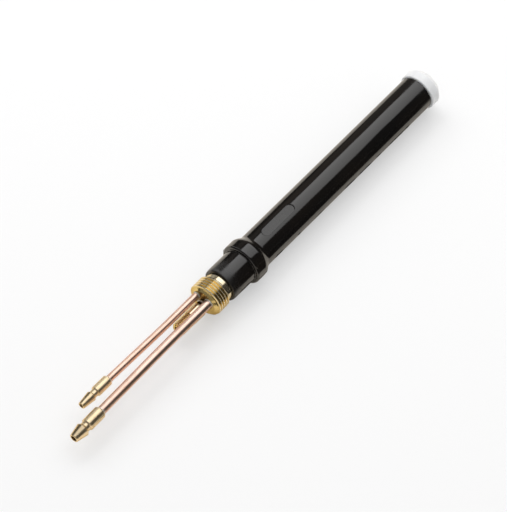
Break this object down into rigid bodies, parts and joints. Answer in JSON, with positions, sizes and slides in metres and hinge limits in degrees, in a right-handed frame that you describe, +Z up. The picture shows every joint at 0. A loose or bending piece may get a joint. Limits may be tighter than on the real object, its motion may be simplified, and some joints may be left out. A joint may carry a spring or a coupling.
{
  "type": "tig torch body",
  "caption": "Straight water-cooled TIG torch body with a moulded barrel and collar, white cup gasket, threaded brass rear fitting, power stud and copper tubes with hose barbs.",
  "frame": {"origin": "middle of the torch's box in X and Y, on the plane that the collar rests on", "axes": "+X along the torch axis towards the nozzle end, +Z up through the label pad, gas tube on the +Y side"},
  "size_m": [0.2368, 0.0196, 0.0195],
  "materials": {
    "ptfe": "satin white fluoropolymer",
    "black_moulding": "semi-gloss moulded",
    "turned_brass": "bright turned",
    "copper_tube": "bright drawn copper",
    "head_copper": "machined copper",
    "silver_braze": "satin silver braze",
    "phenolic": "matt laminate"
  },
  "bodies": {
    "torch_body": {"body_moulding": "black_moulding", "head_core": "head_copper", "water_jacket": "turned_brass", "rear_fitting": "turned_brass", "tube_spacer_1": "phenolic", "tube_spacer_2": "phenolic", "tube_spacer_3": "phenolic", "gas_tube": "copper_tube", "water_tube": "copper_tube", "return_tube": "copper_tube", "power_stud": "turned_brass", "gas_hose_barb": "turned_brass", "water_hose_barb": "turned_brass", "gas_barb_braze": "silver_braze", "water_barb_braze": "silver_braze", "gas_tube_rear_braze": "silver_braze", "water_tube_rear_braze": "silver_braze", "stud_rear_braze": "silver_braze", "gas_tube_head_braze": "silver_braze", "water_tube_head_braze": "silver_braze", "return_tube_head_braze": "silver_braze"},
    "gasket_body": {"cup_gasket": "ptfe"}
  },
  "joints": [
    {"name": "gasket_slide", "type": "slide", "parent": "torch_body", "child": "gasket_body", "axis": [1, 0, 0], "range_m": [0, 0.02]}
  ]
}
